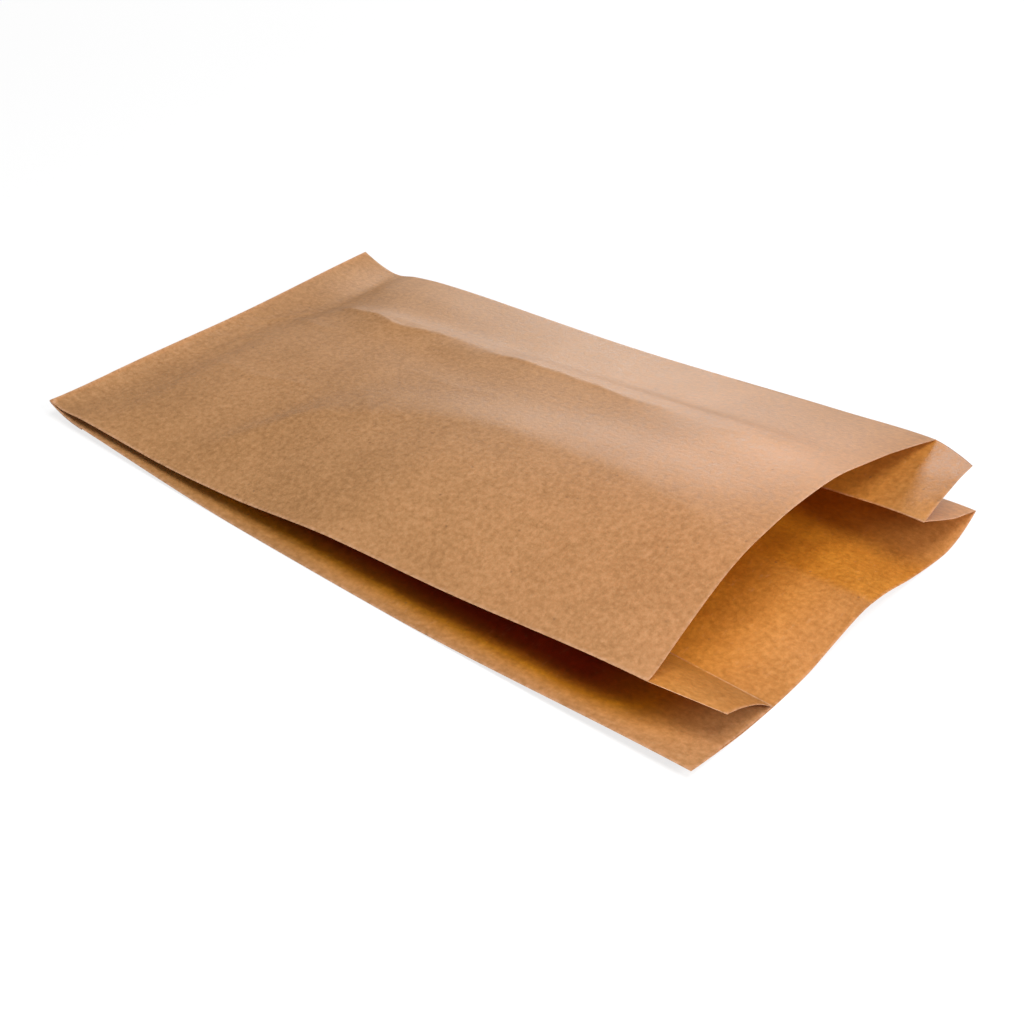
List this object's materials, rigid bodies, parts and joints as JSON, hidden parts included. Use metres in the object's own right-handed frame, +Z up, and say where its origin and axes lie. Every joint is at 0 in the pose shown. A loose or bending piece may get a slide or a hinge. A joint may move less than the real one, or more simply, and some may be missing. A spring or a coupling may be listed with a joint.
{
  "type": "kraft paper bread bag",
  "caption": "Flat kraft paper bread bag with side gussets and a lipped open mouth, lying on its back, folded and glued from a single sheet.",
  "frame": {"origin": "centre of the bag's bounding box, on the surface that it lies on", "axes": "+X from the closed end to the open mouth, +Y across the bag to its far side fold, +Z up"},
  "size_m": [0.3226, 0.1872, 0.0466],
  "materials": {
    "kraft_paper": "uncoated brown kraft paper, matt with faint fibres and specks"
  },
  "bodies": {
    "root": {"bag": "kraft_paper"}
  },
  "joints": []
}
